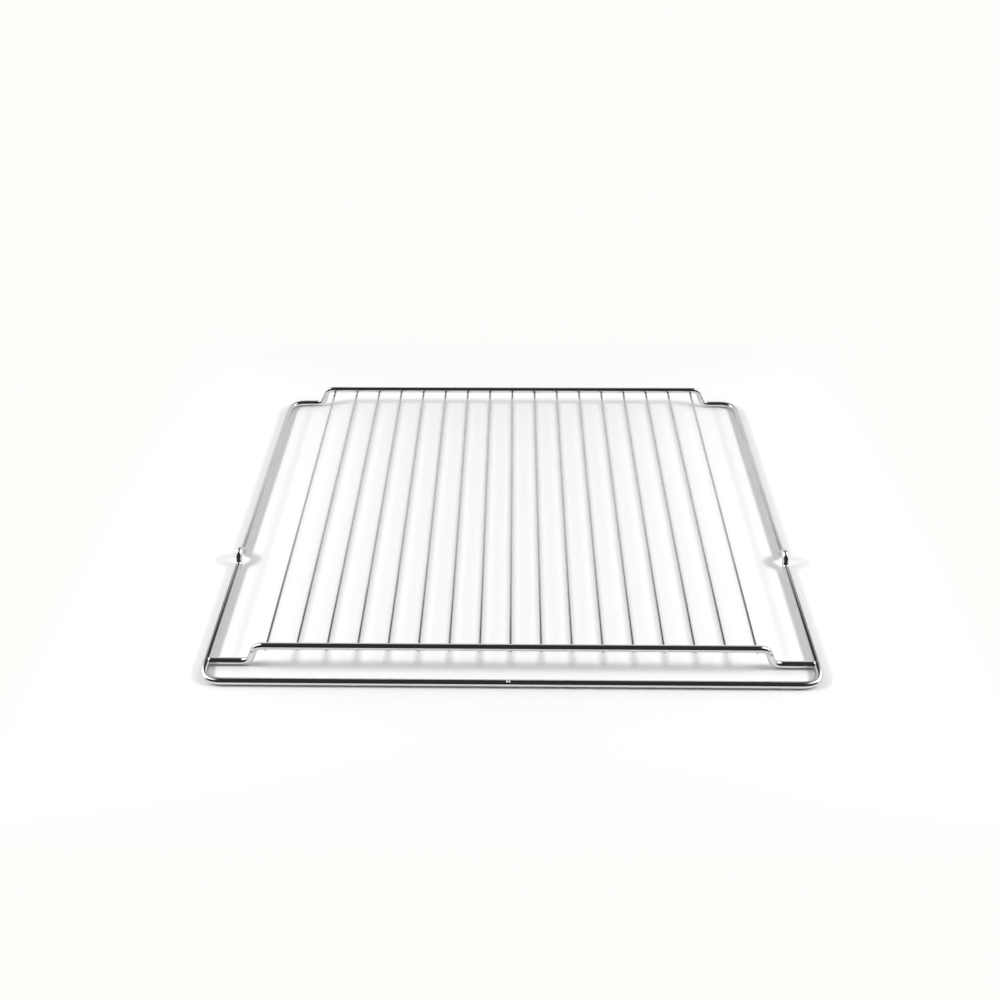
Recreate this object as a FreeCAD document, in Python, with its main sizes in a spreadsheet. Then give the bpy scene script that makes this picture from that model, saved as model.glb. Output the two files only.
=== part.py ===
import FreeCAD, Part
import math
import os
import Sketcher

# Chromed wire shelf for an oven. Two thick bent wires, the outer frame and the front crossbar,
# carry a row of thin straight wires that are welded under their raised parts.
# +X is across the oven, +Y goes to the back of the oven and +Z is up. The origin is on the floor,
# under the middle of the shelf. Lengths are millimetres and angles are degrees.

# Driving dimensions: alias, value and what it measures
SIZES = (
    ("rack_width", 466.0, "outside of the side rails"),
    ("rack_depth", 385.0, "outside of the front and rear rails"),
    ("rail_wire", 5.6, "diameter of the frame and crossbar wire"),
    ("grid_wire", 2.2, "diameter of the grid wires"),
    ("wire_count", 17, "number of grid wires"),
    ("corner_radius", 13.0, "bend at the four corners, on the wire's axis"),
    ("grid_rise", 16.6, "raised part above the floor part, axis to axis"),
    ("bend_angle", 67.0, "slope of the two bends that raise a bar"),
    ("bend_radius", 8.0, "those bends, on the wire's axis"),
    ("bend_setback", 32.2, "side rail axis to the corner of the lower bend"),
    ("crossbar_setback", 20.0, "front rail axis to the crossbar axis"),
    ("crossbar_press", 1.0, "how far a crossbar end is pressed into its side rail"),
    ("stop_setback", 136.8, "front rail axis to the crest of the side stop"),
    ("stop_rise", 8.0, "crest of the side stop above the rail, axis to axis"),
    ("stop_angle", 60.0, "slope of the side stop's flanks"),
    ("stop_crest_radius", 5.0, "bend at the crest, on the wire's axis"),
    ("stop_foot_radius", 5.0, "bends at the feet, on the wire's axis"),
    ("wire_margin", 2.0, "bend of the raised part to the outermost grid wire"),
    ("wire_press", 0.3, "how far a grid wire is welded into a bar"),
    ("wire_reach", 0.3, "grid wire tip past the axis of its bar"),
    ("tip_round", 0.3, "rounding of the grid wire tips"),
)

# Places worked out from the driving dimensions
RAIL_RADIUS = "sizes.rail_wire / 2"
SIDE_X = "((sizes.rack_width - sizes.rail_wire) / 2)"
REAR_Y = "((sizes.rack_depth - sizes.rail_wire) / 2)"
FRONT_Y = f"(-{REAR_Y})"
CROSSBAR_Y = f"({FRONT_Y} + sizes.crossbar_setback)"
BEND_LENGTH = "(sizes.bend_radius * tan(sizes.bend_angle / 2))"
LOWER_BEND_X = f"({SIDE_X} - sizes.bend_setback)"
UPPER_BEND_X = f"({LOWER_BEND_X} - sizes.grid_rise / tan(sizes.bend_angle))"
RAISED_Z = f"({RAIL_RADIUS} + sizes.grid_rise)"
STOP_PEAK = "(sizes.stop_rise + sizes.stop_crest_radius * (1 / cos(sizes.stop_angle) - 1))"
STOP_HALF = f"({STOP_PEAK} / tan(sizes.stop_angle))"
FRAME_DEPTH = "(sizes.rack_depth - sizes.rail_wire)"
REAR_JOIN = f"({FRAME_DEPTH} - 2 * sizes.corner_radius)"
REAR_RUN_END = f"(({SIDE_X} - sizes.corner_radius + {LOWER_BEND_X} + {BEND_LENGTH}) / 2)"
WIRE_Z = f"({RAISED_Z} - {RAIL_RADIUS} - sizes.grid_wire / 2 + sizes.wire_press)"
WIRE_FRONT_Y = f"({CROSSBAR_Y} - sizes.wire_reach)"
WIRE_LENGTH = f"({FRAME_DEPTH} - sizes.crossbar_setback + 2 * sizes.wire_reach)"
OUTER_WIRE_X = f"({UPPER_BEND_X} - {BEND_LENGTH} - sizes.wire_margin)"

doc = FreeCAD.newDocument("oven_shelf_rack")


def make_sheet():
    """The spreadsheet of driving dimensions: names, values with aliases, and notes."""
    sizes = doc.addObject("Spreadsheet::Sheet", "sizes")
    for row, (alias, value, note) in enumerate(SIZES, start=1):
        sizes.set(f"A{row}", alias)
        sizes.set(f"B{row}", str(value))
        sizes.setAlias(f"B{row}", alias)
        sizes.set(f"C{row}", note)
    doc.recompute()
    return sizes


sheet = make_sheet()


def number(expression):
    """The present value of an expression over the sheet."""
    return float(sheet.evalExpression(expression))


def new_body(name):
    """An empty body and its three origin planes by role."""
    body = doc.addObject("PartDesign::Body", name)
    planes = {feature.Role: feature for feature in body.Origin.OriginFeatures}
    return body, planes


def new_sketch(body, name, plane, offset):
    """A sketch on an origin plane, moved by three expressions in the sketch's own directions."""
    sketch = body.newObject("Sketcher::SketchObject", name)
    sketch.AttachmentSupport = [(plane, "")]
    sketch.MapMode = "FlatFace"
    for axis, expression in zip("xyz", offset):
        sketch.setExpression(f"AttachmentOffset.Base.{axis}", expression)
    return sketch


def add_dimension(sketch, constraint, expression):
    """A constraint whose value is bound to an expression."""
    index = sketch.addConstraint(constraint)
    sketch.setExpression(f"Constraints[{index}]", expression)


def fix_point(sketch, shape, end, place):
    """Ties a point to its two expressions, or to an axis where one is zero."""
    kinds = (("DistanceX", -2), ("DistanceY", -1))
    for expression, (kind, axis) in zip(place, kinds):
        if expression == "0":
            sketch.addConstraint(Sketcher.Constraint("PointOnObject", shape, end, axis))
        else:
            value = number(expression)
            add_dimension(sketch, Sketcher.Constraint(kind, -1, 1, shape, end, value), expression)


def draw_bent_wire(sketch, places, radii):
    """Straight runs through the places, with a tangent arc of the given radius at each inner one."""
    points = [FreeCAD.Vector(number(u), number(v), 0) for u, v in places]
    leave = [points[0]]
    arrive = []
    arcs = []
    for before, corner, after, radius in zip(points, points[1:], points[2:], radii):
        back = (before - corner).normalize()
        onward = (after - corner).normalize()
        half_turn = (math.pi - back.getAngle(onward)) / 2
        bend = number(radius)
        reach = bend * math.tan(half_turn)
        inward = (back + onward).normalize()
        middle = corner + inward * (bend / math.cos(half_turn) - bend)
        arrive.append(corner + back * reach)
        leave.append(corner + onward * reach)
        arcs.append(Part.Arc(arrive[-1], middle, leave[-1]))
    arrive.append(points[-1])
    runs = [sketch.addGeometry(Part.LineSegment(a, b)) for a, b in zip(leave, arrive)]
    bends = [sketch.addGeometry(arc) for arc in arcs]
    for step, bend in enumerate(bends):
        first_is_start = sketch.getPoint(bend, 1).isEqual(arrive[step], 1e-6)
        first, second = (1, 2) if first_is_start else (2, 1)
        sketch.addConstraint(Sketcher.Constraint("Tangent", runs[step], 2, bend, first))
        sketch.addConstraint(Sketcher.Constraint("Tangent", bend, second, runs[step + 1], 1))
        add_dimension(sketch, Sketcher.Constraint("Radius", bend, number(radii[step])), radii[step])
        corner = sketch.addGeometry(Part.Point(points[step + 1]), True)
        fix_point(sketch, corner, 1, places[step + 1])
        sketch.addConstraint(Sketcher.Constraint("PointOnObject", corner, 1, runs[step]))
        sketch.addConstraint(Sketcher.Constraint("PointOnObject", corner, 1, runs[step + 1]))
    fix_point(sketch, runs[0], 1, places[0])
    fix_point(sketch, runs[-1], 2, places[-1])


def draw_section(sketch, diameter):
    """A round wire's section about the sketch's origin."""
    value = number(diameter)
    circle = sketch.addGeometry(Part.Circle(FreeCAD.Vector(), FreeCAD.Vector(0, 0, 1), value / 2))
    sketch.addConstraint(Sketcher.Constraint("Coincident", circle, 3, -1, 1))
    add_dimension(sketch, Sketcher.Constraint("Diameter", circle, value), diameter)


def draw_raised_bar(body, planes, name, y, end):
    """Half of a raised bar, from its end on the floor part, up the two bends, to the middle."""
    sketch = new_sketch(body, name, planes["XZ_Plane"], ("0", RAIL_RADIUS, f"-{y}"))
    rise = "sizes.grid_rise"
    places = ((end, "0"), (LOWER_BEND_X, "0"), (UPPER_BEND_X, rise), ("0", rise))
    draw_bent_wire(sketch, places, ("sizes.bend_radius", "sizes.bend_radius"))
    return sketch


def sweep_and_mirror(body, planes, section, spine):
    """Sweeps the wire's section along half of its path and mirrors it to the other side."""
    pipe = body.newObject("PartDesign::AdditivePipe", f"{body.Name}_half")
    pipe.Profile = section
    pipe.Spine = (spine, [f"Edge{i}" for i in range(1, len(spine.Shape.Edges) + 1)])
    doc.recompute()
    mirror = body.newObject("PartDesign::Mirrored", f"{body.Name}_mirrored")
    mirror.Originals = [pipe]
    mirror.MirrorPlane = (planes["YZ_Plane"], [""])
    body.Tip = mirror
    doc.recompute()


def make_frame_loop():
    """The outer frame's wire: front rail, side rails with their stops, and the raised rear rail."""
    body, planes = new_body("frame_loop")
    section = new_sketch(body, "frame_section", planes["YZ_Plane"], (FRONT_Y, RAIL_RADIUS, "0"))
    draw_section(section, "sizes.rail_wire")
    front = new_sketch(body, "front_path", planes["XY_Plane"], ("0", FRONT_Y, RAIL_RADIUS))
    front_places = (("0", "0"), (SIDE_X, "0"), (SIDE_X, "sizes.crossbar_setback"))
    draw_bent_wire(front, front_places, ("sizes.corner_radius",))
    side = new_sketch(body, "side_path", planes["YZ_Plane"], (FRONT_Y, RAIL_RADIUS, SIDE_X))
    side_places = (
        ("sizes.crossbar_setback", "0"),
        (f"sizes.stop_setback - {STOP_HALF}", "0"),
        ("sizes.stop_setback", STOP_PEAK),
        (f"sizes.stop_setback + {STOP_HALF}", "0"),
        (REAR_JOIN, "0"),
    )
    foot = "sizes.stop_foot_radius"
    draw_bent_wire(side, side_places, (foot, "sizes.stop_crest_radius", foot))
    corner = new_sketch(body, "rear_corner_path", planes["XY_Plane"], ("0", FRONT_Y, RAIL_RADIUS))
    corner_places = ((SIDE_X, REAR_JOIN), (SIDE_X, FRAME_DEPTH), (REAR_RUN_END, FRAME_DEPTH))
    draw_bent_wire(corner, corner_places, ("sizes.corner_radius",))
    rear = draw_raised_bar(body, planes, "rear_path", REAR_Y, REAR_RUN_END)
    doc.recompute()
    spine = body.newObject("PartDesign::SubShapeBinder", "frame_path")
    spine.Support = [(path, "") for path in (front, side, corner, rear)]
    doc.recompute()
    sweep_and_mirror(body, planes, section, spine)
    return body


def make_crossbar_wire():
    """The front crossbar's wire, with its ends inside the side rails."""
    body, planes = new_body("crossbar_wire")
    section = new_sketch(body, "crossbar_section", planes["YZ_Plane"], (CROSSBAR_Y, RAISED_Z, "0"))
    draw_section(section, "sizes.rail_wire")
    end = f"({SIDE_X} - {RAIL_RADIUS} + sizes.crossbar_press)"
    path = draw_raised_bar(body, planes, "crossbar_path", CROSSBAR_Y, end)
    doc.recompute()
    sweep_and_mirror(body, planes, section, path)
    return body


def make_grid_wire(index, count):
    """One thin wire, from under the crossbar to under the rear rail, with rounded tips."""
    name = f"grid_wire_{index + 1:02d}"
    share = 2 * index / (count - 1) - 1
    body, planes = new_body(name)
    section = new_sketch(body, f"{name}_section", planes["XZ_Plane"],
                         (f"{OUTER_WIRE_X} * {share}", WIRE_Z, f"-{WIRE_FRONT_Y}"))
    draw_section(section, "sizes.grid_wire")
    pad = body.newObject("PartDesign::Pad", f"{name}_pad")
    pad.Profile = section
    pad.Reversed = True
    pad.setExpression("Length", WIRE_LENGTH)
    doc.recompute()
    edges = enumerate(pad.Shape.Edges, start=1)
    rims = [f"Edge{i}" for i, edge in edges if isinstance(edge.Curve, Part.Circle)]
    tips = body.newObject("PartDesign::Fillet", f"{name}_tips")
    tips.Base = (pad, rims)
    tips.setExpression("Radius", "sizes.tip_round")
    body.Tip = tips
    return body


def cut(name, base, tool):
    """The base with the tool's shape taken out of it."""
    result = doc.addObject("Part::Cut", name)
    result.Base = base
    result.Tool = tool
    return result


def check(sub_parts):
    """Stops if any object failed or any sub-part isn't one valid solid."""
    for thing in doc.Objects:
        if "Invalid" in thing.State or "Error" in thing.State:
            raise RuntimeError(f"{thing.Label} failed: {thing.State}")
    for part in sub_parts:
        if part.Shape.isNull() or not part.Shape.isValid() or len(part.Shape.Solids) != 1:
            raise RuntimeError(f"{part.Label} is not one valid solid")


wire_count = int(number("sizes.wire_count"))
grid_wires = [make_grid_wire(index, wire_count) for index in range(wire_count)]
grid = doc.addObject("Part::Compound", "grid")
grid.Links = grid_wires

# The thick wires have a weld seat at each grid wire, and the crossbar's ends fit the side rails
frame_loop = make_frame_loop()
outer_frame = cut("outer_frame", frame_loop, grid)
coped_bar = cut("coped_bar", make_crossbar_wire(), frame_loop)
front_crossbar = cut("front_crossbar", coped_bar, grid)
doc.recompute()

sub_parts = [outer_frame, front_crossbar] + grid_wires
check(sub_parts)
os.makedirs("parts", exist_ok=True)
for part in sub_parts:
    part.Shape.exportStep(f"parts/{part.Label}.step")
    print(part.Label, "volume", round(part.Shape.Volume, 2), "mm3")
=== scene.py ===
import math

import bpy
import numpy as np
from bpy.props import FloatProperty, FloatVectorProperty, IntProperty, PointerProperty
from mathutils import Matrix, Vector


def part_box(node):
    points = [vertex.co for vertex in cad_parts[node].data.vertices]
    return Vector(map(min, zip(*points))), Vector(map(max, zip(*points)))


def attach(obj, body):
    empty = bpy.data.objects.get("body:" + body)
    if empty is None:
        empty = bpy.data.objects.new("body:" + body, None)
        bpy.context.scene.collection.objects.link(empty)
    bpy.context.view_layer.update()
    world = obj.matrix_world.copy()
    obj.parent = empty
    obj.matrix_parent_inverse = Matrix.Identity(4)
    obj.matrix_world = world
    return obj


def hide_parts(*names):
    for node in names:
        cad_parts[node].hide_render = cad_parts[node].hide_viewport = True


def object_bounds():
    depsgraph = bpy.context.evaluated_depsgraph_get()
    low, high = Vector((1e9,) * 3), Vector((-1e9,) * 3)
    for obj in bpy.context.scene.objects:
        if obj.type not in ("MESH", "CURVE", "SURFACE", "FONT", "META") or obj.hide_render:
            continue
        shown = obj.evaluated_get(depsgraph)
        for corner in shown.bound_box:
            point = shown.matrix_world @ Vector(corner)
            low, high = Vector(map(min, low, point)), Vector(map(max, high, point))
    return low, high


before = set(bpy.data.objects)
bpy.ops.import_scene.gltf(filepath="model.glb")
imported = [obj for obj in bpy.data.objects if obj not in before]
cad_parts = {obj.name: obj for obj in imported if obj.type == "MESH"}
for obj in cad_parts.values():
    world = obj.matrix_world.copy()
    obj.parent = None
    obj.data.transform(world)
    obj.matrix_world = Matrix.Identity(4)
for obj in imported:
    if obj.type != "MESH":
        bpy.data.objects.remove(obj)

bl_info = {
    "name": "Oven Shelf Rack",
    "version": (1, 0, 0),
    "blender": (4, 5, 0),
    "location": "View3D > Sidebar > Oven Shelf",
    "description": "Chromed wire oven shelf with its welds, on a pale studio floor",
    "category": "Add Mesh",
}

CAD_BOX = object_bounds()
GRID_NODES = sorted(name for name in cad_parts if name.startswith("grid_wire_"))
UP = np.array((0.0, 0.0, 1.0))

# Distances between a wire's rings, in metres: along plain runs, and along the runs beside a weld
RING_STEP = 0.0014
BUTT_STEP, BUTT_RUN = 0.0001, 0.0045
COLLAR_STEP, COLLAR_RUN = 0.00025, 0.004

# A grid wire's rings: on a rounded tip, on the run beside a weld, and between those runs
TIP_ROWS, END_ROWS, MIDDLE_ROWS = 6, 25, 60
END_RUN = 0.012

# The side screens, by the parts x, y, z of a direction: |x| from dark to white, the middle of y,
# the distance in y from white to dark, and z from dark to white
SCREEN_ASIDE = (0.32, 0.46)
SCREEN_MIDDLE = 0.20
SCREEN_SPREAD = (0.33, 0.50)
SCREEN_FOOT = (0.02, 0.16)


# Settings

def length(name, description, default):
    """A distance setting in metres."""
    return FloatProperty(name=name, description=description, default=default, min=0.0,
                         precision=5, subtype="DISTANCE", unit="LENGTH")


def turn(name, description, degrees):
    """An angle setting, written in degrees."""
    return FloatProperty(name=name, description=description, default=math.radians(degrees),
                         subtype="ANGLE", unit="ROTATION")


def share(name, description, default, top=1.0):
    """A plain number setting from nought to its top."""
    return FloatProperty(name=name, description=description, default=default, min=0.0, max=top)


def colour(name, description, default):
    """A colour setting."""
    return FloatVectorProperty(name=name, description=description, default=default, size=3,
                               min=0.0, max=1.0, subtype="COLOR")


class ShelfSizes(bpy.types.PropertyGroup):
    """The shelf's bends and wires, as in the solids."""
    rack_width: length("Width", "Outside of the side rails", CAD_BOX[1].x - CAD_BOX[0].x)
    rack_depth: length("Depth", "Outside of the front and rear rails", CAD_BOX[1].y - CAD_BOX[0].y)
    rail_wire: length("Rail wire", "Diameter of the frame and crossbar wire", 0.0056)
    grid_wire: length("Grid wire", "Diameter of the grid wires", 0.0022)
    corner_radius: length("Corner radius", "Bend at the four corners, on the axis", 0.013)
    grid_rise: length("Rise", "Raised part above the floor part, axis to axis", 0.0166)
    bend_angle: turn("Bend angle", "Slope of the bends that raise a bar", 67.0)
    bend_radius: length("Bend radius", "Those bends, on the axis", 0.008)
    bend_setback: length("Bend setback", "Side rail axis to the lower bend", 0.0322)
    crossbar_setback: length("Crossbar setback", "Front rail axis to the crossbar", 0.020)
    stop_setback: length("Stop setback", "Front rail axis to the crest of a side stop", 0.1368)
    stop_rise: length("Stop rise", "Crest of a side stop above the rail", 0.0080)
    stop_angle: turn("Stop angle", "Slope of the side stop's flanks", 60.0)
    stop_radius: length("Stop radius", "Bends of the side stop, on the axis", 0.005)
    bend_ease: share("Bend ease", "How gradually the corners and the raising bends begin and end", 1.0)
    stop_ease: share("Stop ease", "How gradually the side stop's bends begin and end", 0.35)
    tip_round: length("Tip rounding", "Rounding of the grid wire tips", 0.0003)
    rail_sides: IntProperty(name="Rail sides", description="Faces around a rail", default=40, min=8)
    wire_sides: IntProperty(name="Wire sides", description="Faces around a grid wire", default=24, min=8)


class WeldSizes(bpy.types.PropertyGroup):
    """The welds that hold the wires together."""
    butt_shift: length("Butt shift", "Front rail's butt weld, left of the middle", 0.0016)
    butt_flash: length("Butt flash", "Height of the two ridges on that weld", 0.00020)
    butt_width: length("Butt width", "Half width of a ridge", 0.00035)
    butt_gap: length("Butt gap", "Half distance between the two ridges", 0.0009)
    collar_height: length("Collar height", "Bead at a crossbar end, above the wire", 0.0002)
    collar_width: length("Collar width", "Half width of that bead", 0.0008)
    bead_along_bar: length("Bead along bar", "Half length of a grid weld along the bar", 0.0017)
    bead_along_wire: length("Bead along wire", "Half length of a grid weld along the wire", 0.0019)
    bead_height: length("Bead height", "Half height of a grid weld", 0.0009)
    dull_reach: length("Dull reach", "How far the plating is dulled around a weld", 0.0018)


class ChromeFinish(bpy.types.PropertyGroup):
    """The plating on the wires and the welds."""
    rail_colour: colour("Rail plating", "Reflected colour of the thick wires", (0.71, 0.715, 0.72))
    grid_colour: colour("Grid plating", "Reflected colour of the thin wires", (0.665, 0.67, 0.675))
    weld_colour: colour("Weld metal", "Reflected colour at the welds", (0.36, 0.355, 0.35))
    gloss_roughness: share("Roughness", "Roughness of clean plating", 0.07)
    weld_roughness: share("Weld roughness", "Roughness at the welds", 0.34)
    haze_colour: share("Haze colour", "Share of the colour that hazy plating keeps", 0.93)
    haze_roughness: share("Haze roughness", "Roughness that haze adds", 0.04)
    pit_roughness: share("Pit roughness", "Roughness that pits add", 0.10)
    relief_strength: share("Relief", "Strength of the die lines and weld ripples", 0.10)
    relief_height: length("Relief height", "Height of the die lines and weld ripples", 0.00003)
    ripple_height: share("Ripples", "Weld ripples against the die lines", 6.0, 20.0)


class StudioSet(bpy.types.PropertyGroup):
    """The floor, the lamps, the white screens and the camera."""
    floor_colour: colour("Floor", "Colour of the floor", (0.95, 0.95, 0.947))
    white_colour: colour("Backdrop", "Colour of the far floor and the backdrop", (0.973, 0.99, 0.962))
    lamp_power: FloatProperty(name="Lamp power", description="Power of each side lamp",
                              default=5.8, min=0.0, unit="POWER")
    lamp_place: FloatVectorProperty(name="Lamp", size=3,
                                    description="Place of the right lamp, mirrored by the left one",
                                    default=(1.0, -0.12, 0.70), subtype="TRANSLATION",
                                    unit="LENGTH")
    lamp_length: length("Lamp length", "Level side of a lamp", 0.30)
    lamp_width: length("Lamp width", "Tilted side of a lamp", 0.15)
    floor_half: length("Floor size", "Half the width of the floor", 6.0)
    fade_start: length("Fade start", "How far from the shelf the floor starts to turn white", 0.02)
    fade_end: length("Fade end", "How far from the shelf the floor has turned white", 0.16)
    screen_level: share("Side screens", "Brightness of the tall white screens left and right", 1.80, 4.0)
    card_half: length("Card size", "Half the width of the white card", 1.36)
    card_back: length("Card place", "Card behind the middle of the shelf", 1.20)
    card_height: length("Card height", "Top of the card above the floor", 1.45)
    card_bright: share("Card foot", "Share of its height over which the card is fully bright", 0.56)
    card_level: share("Back card", "Brightness of the white card behind the shelf", 0.80, 4.0)
    room_level: share("Room", "Brightness of the dim room above and before the shelf", 0.035)
    camera_place: FloatVectorProperty(name="Camera", description="Place of the camera", size=3,
                                      default=(0.00184, -0.66965, 0.55713), subtype="TRANSLATION",
                                      unit="LENGTH")
    camera_pitch: turn("Pitch", "Camera's tilt down", 38.474)
    camera_yaw: turn("Yaw", "Camera's turn to the right", -1.0244)
    camera_roll: turn("Roll", "Camera's turn about its own axis", 0.3926)
    camera_lens: FloatProperty(name="Lens", description="Focal length for a 36 mm frame",
                               default=35.08, min=1.0, unit="CAMERA")


# Shapes

def unit(vectors):
    """Each row divided by its length."""
    return vectors / np.linalg.norm(vectors, axis=-1, keepdims=True)


def straight_run(start, end, spacing):
    """Points start + t (end - start) for even t from 0 up to, but without, 1."""
    count = max(int(np.linalg.norm(end - start) / spacing), 2)
    t = np.linspace(0.0, 1.0, count, endpoint=False)[:, None]
    return start + t * (end - start), np.repeat(unit(end - start)[None], count, axis=0)


def eased_bend(corner, before, after, radius, ease, steps=32):
    """A bend that is tightest in its middle. With turn the angle between the runs' directions a and b,
    and e the unit normal to a towards b, its direction at the share t of its length is
    cos(w) a + sin(w) e, where w = turn * (t - ease * sin(2 pi t) / (2 pi)), and its points add up those
    directions. Its length puts its middle where an arc of the given radius would have it."""
    a, b = unit(corner - before), unit(after - corner)
    turn_angle = math.acos(float(np.clip(a @ b, -1.0, 1.0)))
    e = unit(b - a * math.cos(turn_angle))
    t = np.linspace(0.0, 1.0, 16 * steps + 1)[:, None]
    w = turn_angle * (t - ease * np.sin(2 * math.pi * t) / (2 * math.pi))
    tangents = np.cos(w) * a + np.sin(w) * e
    steps_along = (tangents[1:] + tangents[:-1]) / (2 * (len(t) - 1))
    points = np.concatenate((np.zeros((1, 3)), np.cumsum(steps_along, axis=0)))
    reach = np.linalg.norm(points[-1]) / (2 * math.cos(turn_angle / 2))
    depth = np.linalg.norm(points[8 * steps] - reach * a)
    size = radius * (1 / math.cos(turn_angle / 2) - 1) / depth
    points = corner + size * (points - reach * a)
    return points[::16], tangents[::16]


def bent_route(corners, radii, eases, spacings):
    """Points and unit tangents along straight runs joined by eased bends, one at each inner corner.
    A corner with no radius only changes the spacing of the points along a run."""
    corners = np.asarray(corners, float)
    points, tangents = [], []
    here = corners[0]
    for i, (radius, ease) in enumerate(zip(radii, eases), start=1):
        if radius:
            arc, along = eased_bend(corners[i], corners[i - 1], corners[i + 1], radius, ease)
        else:
            arc, along = corners[i:i + 1], unit(corners[i] - corners[i - 1])[None]
        if (arc[0] - here) @ (corners[i] - corners[i - 1]) <= 0:
            raise RuntimeError("two bends of a wire run into each other")
        run, ahead = straight_run(here, arc[0], spacings[i - 1])
        points += [run, arc[:-1]]
        tangents += [ahead, along[:-1]]
        here = arc[-1]
    run, ahead = straight_run(here, corners[-1], spacings[-1])
    points += [run, corners[-1:]]
    tangents += [ahead, ahead[-1:]]
    return np.concatenate(points), np.concatenate(tangents)


def run_lengths(points):
    """Distance along a route up to each of its points."""
    steps = np.linalg.norm(np.diff(points, axis=0), axis=1)
    return np.concatenate(((0.0,), np.cumsum(steps)))


def carried_ring(points, tangents, radii, sides):
    """A wire's surface: point + radius * (cos(v) side + sin(v) lift), where side is level and square
    to the route, lift is square to both, and v goes once around."""
    side = unit(np.cross(tangents, UP))
    lift = np.cross(side, tangents)
    v = np.arange(sides) * (2 * math.pi / sides)
    ring = np.cos(v)[None, :, None] * side[:, None] + np.sin(v)[None, :, None] * lift[:, None]
    return points[:, None] + radii[:, None, None] * ring


def grid_faces(rows, columns, closed):
    """Quads of a grid that closes around its columns, and around its rows if the route is closed,
    as corner numbers, with each corner's own row and column counted past the seam."""
    i, j = np.meshgrid(np.arange(rows if closed else rows - 1), np.arange(columns), indexing="ij")
    i, j = i.ravel(), j.ravel()
    row = np.stack((i, i + 1, i + 1, i), axis=1)
    column = np.stack((j, j, j + 1, j + 1), axis=1)
    return (row % rows) * columns + column % columns, row, column


def cap_faces(first, pole, columns, outward):
    """Triangles from one ring of the grid to a pole point."""
    j = np.arange(columns)
    after = (j + 1) % columns
    order = (first + j, first + after) if outward else (first + after, first + j)
    return np.stack((*order, np.full(columns, pole)), axis=1)


def build_piece(name, vertices, faces, uv, weld, material):
    """A smooth mesh object with its own length-and-turn UV map and its weld mask."""
    mesh = bpy.data.meshes.new(name)
    mesh.from_pydata(vertices, [], faces)
    mesh.uv_layers.new(name="wire").data.foreach_set("uv", np.asarray(uv, np.float32).ravel())
    mask = mesh.attributes.new("weld", "FLOAT", "POINT")
    mask.data.foreach_set("value", np.asarray(weld, np.float32))
    mesh.shade_smooth()
    mesh.materials.append(material)
    if mesh.validate():
        raise RuntimeError(f"{name} has faulty faces")
    piece = bpy.data.objects.new(name, mesh)
    bpy.context.scene.collection.objects.link(piece)
    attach(piece, "root")
    return piece


def weld_mask(vertices, places, reach):
    """exp(-(d / reach)^2) of the distance d to the nearest weld."""
    nearest = np.full(len(vertices), np.inf)
    for place in places:
        nearest = np.minimum(nearest, np.linalg.norm(vertices - place, axis=1))
    return np.exp(-(nearest / reach) ** 2)


def wire_piece(name, route, radii, sides, closed, welds, material):
    """A bent wire: a ring carried along a route, closed on itself or with a cap at each end."""
    points, tangents = route
    rows = len(points)
    ring = carried_ring(points, tangents, radii, sides).reshape(-1, 3)
    quads, row, column = grid_faces(rows, sides, closed)
    along = run_lengths(np.concatenate((points, points[:1])) if closed else points)
    uv = np.stack((along[row], column / sides), axis=-1).reshape(-1, 2)
    faces = quads.tolist()
    vertices = ring
    if not closed:
        vertices = np.concatenate((ring, points[:1], points[-1:]))
        caps = np.concatenate((cap_faces(0, rows * sides, sides, False),
                               cap_faces((rows - 1) * sides, rows * sides + 1, sides, True)))
        cap_uv = np.zeros((caps.size, 2))
        uv = np.concatenate((uv, cap_uv))
        faces += caps.tolist()
    vertices[:, 2] = np.maximum(vertices[:, 2], 0.0)
    reach = bpy.context.scene.shelf_welds.dull_reach
    return build_piece(name, vertices, faces, uv, weld_mask(vertices, welds, reach), material)


def frame_places(sizes):
    """The shelf's main places, in metres: axis lines of the rails, bars and bends."""
    radius = sizes.rail_wire / 2
    side = sizes.rack_width / 2 - radius
    rear = sizes.rack_depth / 2 - radius
    lower = side - sizes.bend_setback
    peak = sizes.stop_rise + sizes.stop_radius * (1 / math.cos(sizes.stop_angle) - 1)
    return {
        "radius": radius, "side": side, "rear": rear, "front": -rear,
        "bar": sizes.crossbar_setback - rear,
        "lower": lower, "upper": lower - sizes.grid_rise / math.tan(sizes.bend_angle),
        "top": radius + sizes.grid_rise,
        "stop": sizes.stop_setback - rear, "peak": radius + peak,
        "half_stop": peak / math.tan(sizes.stop_angle),
    }


def grid_crossings(y):
    """Where the grid wires touch a raised bar, on the wires' upper side."""
    boxes = [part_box(node) for node in GRID_NODES]
    return np.array([((low.x + high.x) / 2, y, high.z) for low, high in boxes])


# Finishes

def value_socket(tree, name, kind, default=None, out=False):
    """A named socket of a node group."""
    side = "OUTPUT" if out else "INPUT"
    socket = tree.interface.new_socket(name, in_out=side, socket_type=f"NodeSocket{kind}")
    if default is not None:
        socket.default_value = default


def node(tree, kind, inputs=None, **settings):
    """A shader node with its settings, and its inputs linked or given a value."""
    made = tree.nodes.new(f"ShaderNode{kind}")
    for key, value in settings.items():
        setattr(made, key, value)
    for key, value in (inputs or {}).items():
        if isinstance(value, bpy.types.NodeSocket):
            tree.links.new(value, made.inputs[key])
        else:
            made.inputs[key].default_value = value
    return made


def maths(tree, operation, first, second=0.0, third=0.0):
    """A Math node's result."""
    made = node(tree, "Math", {0: first, 1: second, 2: third}, operation=operation)
    return made.outputs["Value"]


def new_group(name):
    """An empty shader node group with its input and output nodes."""
    tree = bpy.data.node_groups.new(name, "ShaderNodeTree")
    return tree, tree.nodes.new("NodeGroupInput"), tree.nodes.new("NodeGroupOutput")


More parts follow.
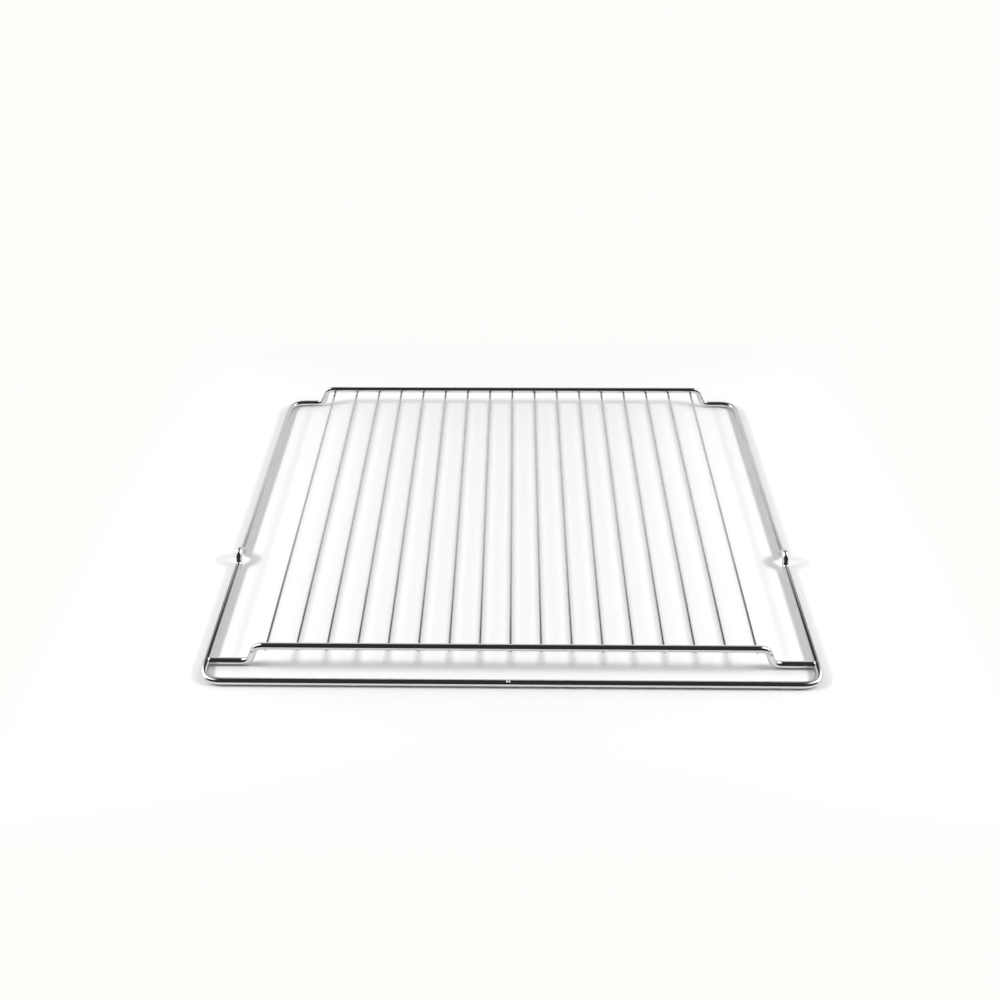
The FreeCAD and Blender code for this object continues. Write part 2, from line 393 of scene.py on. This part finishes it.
def drawn_lines_group():
    """Fine lines left along the wire by the drawing die: noise on a circle around the wire,
    stretched along its length, so that it has no seam."""
    tree, given, result = new_group("Drawn wire lines")
    value_socket(tree, "Around", "Float", 9.0)
    value_socket(tree, "Along", "Float", 18.0)
    value_socket(tree, "Height", "Float", out=True)
    place = node(tree, "SeparateXYZ", {0: node(tree, "UVMap", uv_map="wire").outputs["UV"]})
    angle = maths(tree, "MULTIPLY", place.outputs["Y"], 2 * math.pi)
    across = maths(tree, "MULTIPLY", maths(tree, "COSINE", angle), given.outputs["Around"])
    upward = maths(tree, "MULTIPLY", maths(tree, "SINE", angle), given.outputs["Around"])
    along = maths(tree, "MULTIPLY", place.outputs["X"], given.outputs["Along"])
    spot = node(tree, "CombineXYZ", {"X": across, "Y": upward, "Z": along})
    noise = node(tree, "TexNoise", {"Vector": spot.outputs[0], "Scale": 1.0, "Detail": 4.0,
                                    "Roughness": 0.6})
    tree.links.new(noise.outputs["Fac"], result.inputs["Height"])
    return tree


def plating_group():
    """Uneven plating: broad cloudy haze, and small pits that dull it."""
    tree, given, result = new_group("Plating haze")
    value_socket(tree, "Cloud Scale", "Float", 45.0)
    value_socket(tree, "Pit Scale", "Float", 900.0)
    value_socket(tree, "Haze", "Float", out=True)
    value_socket(tree, "Pits", "Float", out=True)
    place = node(tree, "TexCoord").outputs["Object"]
    cloud = node(tree, "TexNoise", {"Vector": place, "Scale": given.outputs["Cloud Scale"], "Detail": 3.0})
    haze = node(tree, "MapRange", {"Value": cloud.outputs["Fac"], "From Min": 0.38, "From Max": 0.72})
    pit = node(tree, "TexNoise", {"Vector": place, "Scale": given.outputs["Pit Scale"], "Detail": 1.0})
    pits = node(tree, "MapRange", {"Value": pit.outputs["Fac"], "From Min": 0.68, "From Max": 0.78})
    tree.links.new(haze.outputs["Result"], result.inputs["Haze"])
    tree.links.new(pits.outputs["Result"], result.inputs["Pits"])
    return tree


def weld_group():
    """Dulled plating around a weld: the weld mask broken up by fine noise, and the weld's ripples."""
    tree, given, result = new_group("Weld dulling")
    value_socket(tree, "Break Up", "Float", 0.5)
    value_socket(tree, "Dull", "Float", out=True)
    value_socket(tree, "Ripple", "Float", out=True)
    mask = node(tree, "Attribute", attribute_name="weld").outputs["Fac"]
    place = node(tree, "TexCoord").outputs["Object"]
    noise = node(tree, "TexNoise", {"Vector": place, "Scale": 700.0, "Detail": 3.0})
    loss = maths(tree, "MULTIPLY", noise.outputs["Fac"], given.outputs["Break Up"])
    left = maths(tree, "SUBTRACT", mask, loss)
    dull = node(tree, "MapRange", {"Value": left, "From Min": 0.0, "From Max": 0.6})
    tree.links.new(dull.outputs["Result"], result.inputs["Dull"])
    tree.links.new(maths(tree, "MULTIPLY", noise.outputs["Fac"], mask), result.inputs["Ripple"])
    return tree


def group_node(tree, name, make, **values):
    """A placed node group, made once and shared, with its own values."""
    placed = tree.nodes.new("ShaderNodeGroup")
    placed.node_tree = bpy.data.node_groups.get(name) or make()
    for key, value in values.items():
        placed.inputs[key.replace("_", " ").title()].default_value = value
    return placed


def chrome(name, base, lines_around):
    """Bright plated wire: die lines, cloudy haze and pits, dulled and darkened around the welds."""
    known = bpy.data.materials.get(name)
    if known:
        return known
    finish = bpy.context.scene.shelf_finish
    material = bpy.data.materials.new(name)
    material.use_nodes = True
    tree = material.node_tree
    shader = tree.nodes["Principled BSDF"]
    lines = group_node(tree, "Drawn wire lines", drawn_lines_group, around=lines_around)
    plating = group_node(tree, "Plating haze", plating_group)
    weld = group_node(tree, "Weld dulling", weld_group)
    hazy = [level * finish.haze_colour for level in base]
    clean = node(tree, "Mix", {"Factor": plating.outputs["Haze"], "A": (*base, 1.0), "B": (*hazy, 1.0)},
                 data_type="RGBA")
    metal = node(tree, "Mix", {"Factor": weld.outputs["Dull"], "A": clean.outputs["Result"],
                               "B": (*finish.weld_colour, 1.0)}, data_type="RGBA")
    tree.links.new(metal.outputs["Result"], shader.inputs["Base Color"])
    gloss = maths(tree, "MULTIPLY_ADD", plating.outputs["Haze"], finish.haze_roughness,
                  finish.gloss_roughness)
    pitted = maths(tree, "MULTIPLY_ADD", plating.outputs["Pits"], finish.pit_roughness, gloss)
    rough = node(tree, "Mix", {"Factor": weld.outputs["Dull"], "A": pitted, "B": finish.weld_roughness})
    tree.links.new(rough.outputs["Result"], shader.inputs["Roughness"])
    relief = maths(tree, "MULTIPLY_ADD", weld.outputs["Ripple"], finish.ripple_height,
                   lines.outputs["Height"])
    bump = node(tree, "Bump", {"Strength": finish.relief_strength, "Distance": finish.relief_height,
                               "Height": relief})
    tree.links.new(bump.outputs["Normal"], shader.inputs["Normal"])
    shader.inputs["Metallic"].default_value = 1.0
    return material


def rail_chrome():
    """The thick wires' plating."""
    return chrome("rail chrome", bpy.context.scene.shelf_finish.rail_colour, 9.0)


def grid_chrome():
    """The thin wires' plating."""
    return chrome("grid chrome", bpy.context.scene.shelf_finish.grid_colour, 5.0)


# Pieces

class SHELF_OT_outer_frame(bpy.types.Operator):
    """Bends the outer frame: front rail, corners, side rails with stops, and the raised rear rail"""
    bl_idname = "shelf.outer_frame"
    bl_label = "Outer Frame"

    def execute(self, context):
        sizes, welds = context.scene.shelf_sizes, context.scene.shelf_welds
        at = frame_places(sizes)
        low = at["radius"]
        corners = (
            (0.0, at["front"], low), (BUTT_RUN, at["front"], low), (at["side"], at["front"], low),
            (at["side"], at["stop"] - at["half_stop"], low),
            (at["side"], at["stop"], at["peak"]),
            (at["side"], at["stop"] + at["half_stop"], low),
            (at["side"], at["rear"], low), (at["lower"], at["rear"], low),
            (at["upper"], at["rear"], at["top"]), (0.0, at["rear"], at["top"]),
        )
        corner, stop, bend = sizes.corner_radius, sizes.stop_radius, sizes.bend_radius
        bends = (0, corner, stop, stop, stop, corner, bend, bend)
        easy, tight = sizes.bend_ease, sizes.stop_ease
        eases = (0, easy, tight, tight, tight, easy, easy, easy)
        spacings = (BUTT_STEP,) + (RING_STEP,) * 8
        points, tangents = bent_route(corners, bends, eases, spacings)
        mirror = np.array((-1.0, 1.0, 1.0))
        points = np.concatenate((points, (points * mirror)[-2:0:-1]))
        tangents = np.concatenate((tangents, (-tangents * mirror)[-2:0:-1]))
        butt = np.array((-welds.butt_shift, at["front"], low))
        off_ridge = np.linalg.norm(points - butt, axis=1) - welds.butt_gap
        radii = low + welds.butt_flash * np.exp(-(off_ridge / welds.butt_width) ** 2)
        places = np.concatenate((
            grid_crossings(at["rear"]), butt[None],
            [(at["side"] - low, at["bar"], low), (low - at["side"], at["bar"], low)],
        ))
        piece = wire_piece("frame_wire", (points, tangents), radii, sizes.rail_sides, True, places,
                           rail_chrome())
        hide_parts("outer_frame")
        return {"FINISHED"}


class SHELF_OT_front_crossbar(bpy.types.Operator):
    """Bends the raised crossbar, with a weld bead where each end meets its side rail"""
    bl_idname = "shelf.front_crossbar"
    bl_label = "Front Crossbar"

    def execute(self, context):
        sizes, welds = context.scene.shelf_sizes, context.scene.shelf_welds
        at = frame_places(sizes)
        low = at["radius"]
        joint = at["side"] - low
        right = [(at["side"], low), (joint - COLLAR_RUN, low), (at["lower"], low), (at["upper"], at["top"])]
        left = [(-x, z) for x, z in reversed(right)]
        corners = [(x, at["bar"], z) for x, z in right + left]
        bend = sizes.bend_radius
        bends = (0,) + (bend,) * 4 + (0,)
        eases = (0,) + (sizes.bend_ease,) * 4 + (0,)
        spacings = (COLLAR_STEP,) + (RING_STEP,) * 5 + (COLLAR_STEP,)
        points, tangents = bent_route(corners, bends, eases, spacings)
        off_joint = np.abs(points[:, 0]) - joint
        radii = low + welds.collar_height * np.exp(-(off_joint / welds.collar_width) ** 2)
        places = np.concatenate((
            grid_crossings(at["bar"]), [(joint, at["bar"], low), (-joint, at["bar"], low)],
        ))
        piece = wire_piece("crossbar_wire", (points, tangents), radii, sizes.rail_sides, False, places,
                           rail_chrome())
        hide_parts("front_crossbar")
        return {"FINISHED"}


class SHELF_OT_grid_wires(bpy.types.Operator):
    """Draws the thin wires that carry the dishes, with rounded tips"""
    bl_idname = "shelf.grid_wires"
    bl_label = "Grid Wires"

    def execute(self, context):
        sizes = context.scene.shelf_sizes
        at = frame_places(sizes)
        radius, tip = sizes.grid_wire / 2, sizes.tip_round
        w = np.linspace(math.pi / 2, 0.0, TIP_ROWS)
        places = np.concatenate((grid_crossings(at["bar"]), grid_crossings(at["rear"])))
        for index, name in enumerate(GRID_NODES, start=1):
            low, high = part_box(name)
            x, z = (low.x + high.x) / 2, (low.z + high.z) / 2
            first = low.y + tip * (1 - np.sin(w))
            last = high.y - tip * (1 - np.sin(w))[::-1]
            near = np.linspace(first[-1], first[-1] + END_RUN, END_ROWS)[1:]
            far = np.linspace(last[0] - END_RUN, last[0], END_ROWS)[:-1]
            middle = np.linspace(near[-1], far[0], MIDDLE_ROWS)[1:-1]
            y = np.concatenate((first, near, middle, far, last))
            points = np.stack((np.full_like(y, x), y, np.full_like(y, z)), axis=1)
            tangents = np.repeat(np.array([(0.0, 1.0, 0.0)]), len(y), axis=0)
            rounded = radius - tip + tip * np.cos(w)
            straight = np.full(len(near) + len(middle) + len(far), radius)
            radii = np.concatenate((rounded, straight, rounded[::-1]))
            piece = wire_piece(f"grid_strand_{index:02d}", (points, tangents), radii, sizes.wire_sides,
                               False, places, grid_chrome())
            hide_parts(name)
        return {"FINISHED"}


class SHELF_OT_grid_welds(bpy.types.Operator):
    """Presses a small bead of squeezed metal between each grid wire and the two bars"""
    bl_idname = "shelf.grid_welds"
    bl_label = "Grid Welds"

    def execute(self, context):
        sizes = context.scene.shelf_sizes
        at = frame_places(sizes)
        self.bead_row("crossbar_welds", grid_crossings(at["bar"]), 0.0)
        self.bead_row("rear_rail_welds", grid_crossings(at["rear"]), 2.0)
        return {"FINISHED"}

    def bead_row(self, name, places, phase, rows=9, sides=16):
        """Flattened round beads: (a sin(u) cos(v), b sin(u) sin(v), c cos(u)) about each weld, where
        u goes from pole to pole, v goes around, and the half sizes differ a little from bead to bead."""
        welds = bpy.context.scene.shelf_welds
        u = np.linspace(0.0, math.pi, rows + 2)[1:-1, None]
        v = np.arange(sides)[None] * (2 * math.pi / sides)
        ball = np.stack((np.sin(u) * np.cos(v), np.sin(u) * np.sin(v), np.cos(u) + 0 * v), axis=-1)
        ball = np.concatenate((ball.reshape(-1, 3), [(0, 0, 1), (0, 0, -1)]))
        number = np.arange(len(places))[:, None]
        spread = 1 + 0.12 * np.sin(number * np.array((2.7, 4.1, 5.3)) + phase)
        half = spread * np.array((welds.bead_along_bar, welds.bead_along_wire, welds.bead_height))
        vertices = (places[:, None] + half[:, None] * ball).reshape(-1, 3)
        quads = grid_faces(rows, sides, False)[0]
        poles = rows * sides
        caps = np.concatenate((cap_faces(0, poles, sides, False),
                               cap_faces(poles - sides, poles + 1, sides, True)))
        shift = np.arange(len(places))[:, None, None] * len(ball)
        quads = (quads[None] + shift).reshape(-1, 4)
        caps = (caps[None] + shift).reshape(-1, 3)
        uv = np.zeros((quads.size + caps.size, 2))
        build_piece(name, vertices, quads.tolist() + caps.tolist(), uv, np.ones(len(vertices)),
                    rail_chrome())


# Studio

class SHELF_OT_studio(bpy.types.Operator):
    """Sets the pale floor, the two side lamps, the white card, the room and the camera"""
    bl_idname = "shelf.studio"
    bl_label = "Studio"

    def execute(self, context):
        studio = context.scene.shelf_studio
        self.floor(studio)
        across, along, up = studio.lamp_place
        self.lamp("left_lamp", (-across, along, up), studio)
        self.lamp("right_lamp", (across, along, up), studio)
        self.card(studio)
        self.room(studio)
        self.camera(studio)
        context.scene.view_settings.view_transform = "Standard"
        return {"FINISHED"}

    def floor(self, studio):
        """A wide flat sheet: lit paint near the shelf, plain white far from it for camera and gloss."""
        mesh = bpy.data.meshes.new("floor")
        r = studio.floor_half
        mesh.from_pydata([(-r, -r, 0), (r, -r, 0), (r, r, 0), (-r, r, 0)], [], [(0, 1, 2, 3)])
        material = bpy.data.materials.new("floor paint")
        material.use_nodes = True
        tree = material.node_tree
        tree.nodes.clear()
        paint = node(tree, "BsdfDiffuse", {"Color": (*studio.floor_colour, 1.0)})
        white = node(tree, "Emission", {"Color": (*studio.white_colour, 1.0), "Strength": 1.0})
        place = node(tree, "SeparateXYZ", {0: node(tree, "TexCoord").outputs["Object"]}).outputs
        past_side = maths(tree, "SUBTRACT", maths(tree, "ABSOLUTE", place["X"]), CAD_BOX[1].x)
        past_end = maths(tree, "SUBTRACT", maths(tree, "ABSOLUTE", place["Y"]), CAD_BOX[1].y)
        past = maths(tree, "MAXIMUM", past_side, past_end)
        far = self.ramp(tree, past, studio.fade_start, studio.fade_end)
        path = node(tree, "LightPath")
        seen = maths(tree, "MAXIMUM", path.outputs["Is Camera Ray"], path.outputs["Is Glossy Ray"])
        blend = node(tree, "MixShader", {0: maths(tree, "MULTIPLY", far, seen), 1: paint.outputs[0],
                                         2: white.outputs[0]})
        node(tree, "OutputMaterial", {"Surface": blend.outputs[0]})
        mesh.materials.append(material)
        floor = bpy.data.objects.new("floor", mesh)
        bpy.context.scene.collection.objects.link(floor)

    def lamp(self, name, place, studio):
        """A soft lamp that faces the shelf, its long side level, and isn't seen itself."""
        light = bpy.data.lights.new(name, "AREA")
        light.shape = "RECTANGLE"
        light.size = studio.lamp_length
        light.size_y = studio.lamp_width
        light.energy = studio.lamp_power
        lamp = bpy.data.objects.new(name, light)
        lamp.location = place
        lamp.rotation_euler = (-Vector(place)).to_track_quat("-Z", "Y").to_euler()
        lamp.visible_camera = False
        lamp.visible_glossy = False
        bpy.context.scene.collection.objects.link(lamp)

    def card(self, studio):
        """A white card far behind the shelf, bright at its foot and dim at its top, that lights the
        plating and the floor and isn't seen itself."""
        wide, back, high = studio.card_half, studio.card_back, studio.card_height
        mesh = bpy.data.meshes.new("back_card")
        mesh.from_pydata([(-wide, back, 0), (wide, back, 0), (wide, back, high), (-wide, back, high)], [],
                         [(0, 1, 2, 3)])
        material = bpy.data.materials.new("card paint")
        material.use_nodes = True
        tree = material.node_tree
        tree.nodes.clear()
        height = node(tree, "SeparateXYZ", {0: node(tree, "TexCoord").outputs["Object"]}).outputs["Z"]
        level = node(tree, "MapRange", {"Value": height, "From Min": high,
                                        "From Max": studio.card_bright * high,
                                        "To Min": studio.room_level, "To Max": studio.card_level},
                     interpolation_type="SMOOTHSTEP").outputs["Result"]
        glow = node(tree, "Emission", {"Color": (1.0, 1.0, 1.0, 1.0), "Strength": level})
        node(tree, "OutputMaterial", {"Surface": glow.outputs[0]})
        mesh.materials.append(material)
        card = bpy.data.objects.new("back_card", mesh)
        card.visible_camera = False
        bpy.context.scene.collection.objects.link(card)

    def room(self, studio):
        """A dim room with a tall white screen on each side. In the direction (x, y, z), a screen is
        where |x| is large, |y| is small and z is above the floor, and the camera sees plain white."""
        world = bpy.data.worlds.new("studio room")
        world.use_nodes = True
        tree = world.node_tree
        tree.nodes.clear()
        way = node(tree, "SeparateXYZ", {0: node(tree, "TexCoord").outputs["Generated"]}).outputs
        aside = self.ramp(tree, maths(tree, "ABSOLUTE", way["X"]), *SCREEN_ASIDE)
        off_middle = maths(tree, "ABSOLUTE", maths(tree, "SUBTRACT", way["Y"], SCREEN_MIDDLE))
        between = maths(tree, "SUBTRACT", 1.0, self.ramp(tree, off_middle, *SCREEN_SPREAD))
        above = self.ramp(tree, way["Z"], *SCREEN_FOOT)
        screen = maths(tree, "MULTIPLY", maths(tree, "MULTIPLY", aside, between), above)
        level = maths(tree, "MULTIPLY_ADD", screen, studio.screen_level, studio.room_level)
        lit = node(tree, "Background", {"Color": (1.0, 1.0, 1.0, 1.0), "Strength": level})
        white = node(tree, "Background", {"Color": (*studio.white_colour, 1.0), "Strength": 1.0})
        seen = node(tree, "LightPath").outputs["Is Camera Ray"]
        blend = node(tree, "MixShader", {0: seen, 1: lit.outputs[0], 2: white.outputs[0]})
        node(tree, "OutputWorld", {"Surface": blend.outputs[0]})
        bpy.context.scene.world = world

    def ramp(self, tree, value, low, high):
        """A smooth step from 0 at low to 1 at high."""
        step = node(tree, "MapRange", {"Value": value, "From Min": low, "From Max": high},
                    interpolation_type="SMOOTHSTEP")
        return step.outputs["Result"]

    def camera(self, studio):
        """The camera: forward from pitch and yaw, level right turned by the roll."""
        pitch, yaw, roll = studio.camera_pitch, studio.camera_yaw, studio.camera_roll
        ahead = Vector((math.sin(yaw) * math.cos(pitch), math.cos(yaw) * math.cos(pitch), -math.sin(pitch)))
        level = Vector((math.cos(yaw), -math.sin(yaw), 0.0))
        below = ahead.cross(level)
        right = level * math.cos(roll) + below * math.sin(roll)
        upward = level * math.sin(roll) - below * math.cos(roll)
        data = bpy.data.cameras.new("camera")
        data.sensor_width = 36.0
        data.lens = studio.camera_lens
        camera = bpy.data.objects.new("camera", data)
        turned = Matrix((right, upward, -ahead)).transposed().to_4x4()
        camera.matrix_world = Matrix.Translation(studio.camera_place) @ turned
        bpy.context.scene.collection.objects.link(camera)
        bpy.context.scene.camera = camera


# Panel and registration

OPERATORS = (
    SHELF_OT_outer_frame, SHELF_OT_front_crossbar, SHELF_OT_grid_wires, SHELF_OT_grid_welds,
    SHELF_OT_studio,
)
SETTINGS = (
    ("shelf_sizes", ShelfSizes), ("shelf_welds", WeldSizes),
    ("shelf_finish", ChromeFinish), ("shelf_studio", StudioSet),
)


class SHELF_PT_panel(bpy.types.Panel):
    """Lists the shelf's settings and the steps that build it"""
    bl_idname = "SHELF_PT_panel"
    bl_label = "Oven Shelf"
    bl_space_type = "VIEW_3D"
    bl_region_type = "UI"
    bl_category = "Oven Shelf"

    def draw(self, context):
        for operator in OPERATORS:
            self.layout.operator(operator.bl_idname)
        for name, group in SETTINGS:
            box = self.layout.box()
            for key in group.__annotations__:
                box.prop(getattr(context.scene, name), key)


def register():
    for _, group in SETTINGS:
        bpy.utils.register_class(group)
    for name, group in SETTINGS:
        setattr(bpy.types.Scene, name, PointerProperty(type=group))
    for cls in (*OPERATORS, SHELF_PT_panel):
        bpy.utils.register_class(cls)


def unregister():
    for cls in reversed((*OPERATORS, SHELF_PT_panel)):
        bpy.utils.unregister_class(cls)
    for name, group in reversed(SETTINGS):
        delattr(bpy.types.Scene, name)
        bpy.utils.unregister_class(group)


def main():
    register()
    bpy.ops.shelf.outer_frame()
    bpy.ops.shelf.front_crossbar()
    bpy.ops.shelf.grid_wires()
    bpy.ops.shelf.grid_welds()
    bpy.ops.shelf.studio()


if __name__ == "__main__":
    main()
